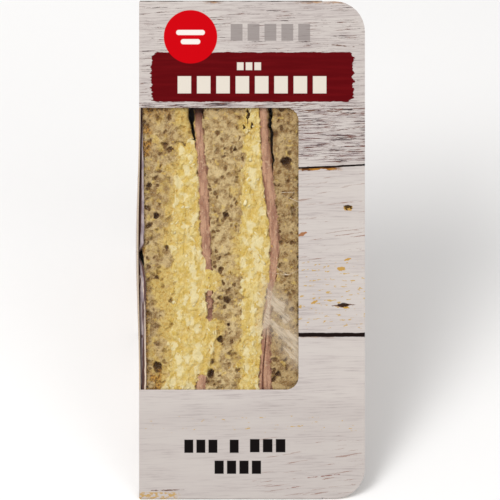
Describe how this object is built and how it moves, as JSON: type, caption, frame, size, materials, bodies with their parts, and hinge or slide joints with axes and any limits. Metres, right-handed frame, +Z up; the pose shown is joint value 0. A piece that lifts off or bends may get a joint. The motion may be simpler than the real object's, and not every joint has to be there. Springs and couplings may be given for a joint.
{
  "type": "club sandwich in a windowed carton",
  "caption": "Triangular club sandwich of bread, egg mayonnaise and ham in a wedge carton with a film window and a side flange.",
  "frame": {"origin": "on the base panel's plane, at the bottom centre of the bounding box", "axes": "+Z up, the window face leans back and looks to -Y and +Z, +X towards the flange"},
  "size_m": [0.08, 0.123, 0.1229],
  "materials": {
    "printed_card": "printed card with a soft varnish",
    "clear_film": "thin clear film, glossy",
    "bread_crumb": "open wholemeal crumb, matt",
    "egg_mayonnaise": "mashed egg, moist",
    "ham_slice": "cooked ham, moist"
  },
  "bodies": {
    "root": {"carton": "printed_card", "window_film": "clear_film", "bread_left": "bread_crumb", "bread_middle": "bread_crumb", "bread_right": "bread_crumb", "egg_left": "egg_mayonnaise", "egg_right": "egg_mayonnaise", "ham_left": "ham_slice", "ham_right": "ham_slice"}
  },
  "joints": []
}
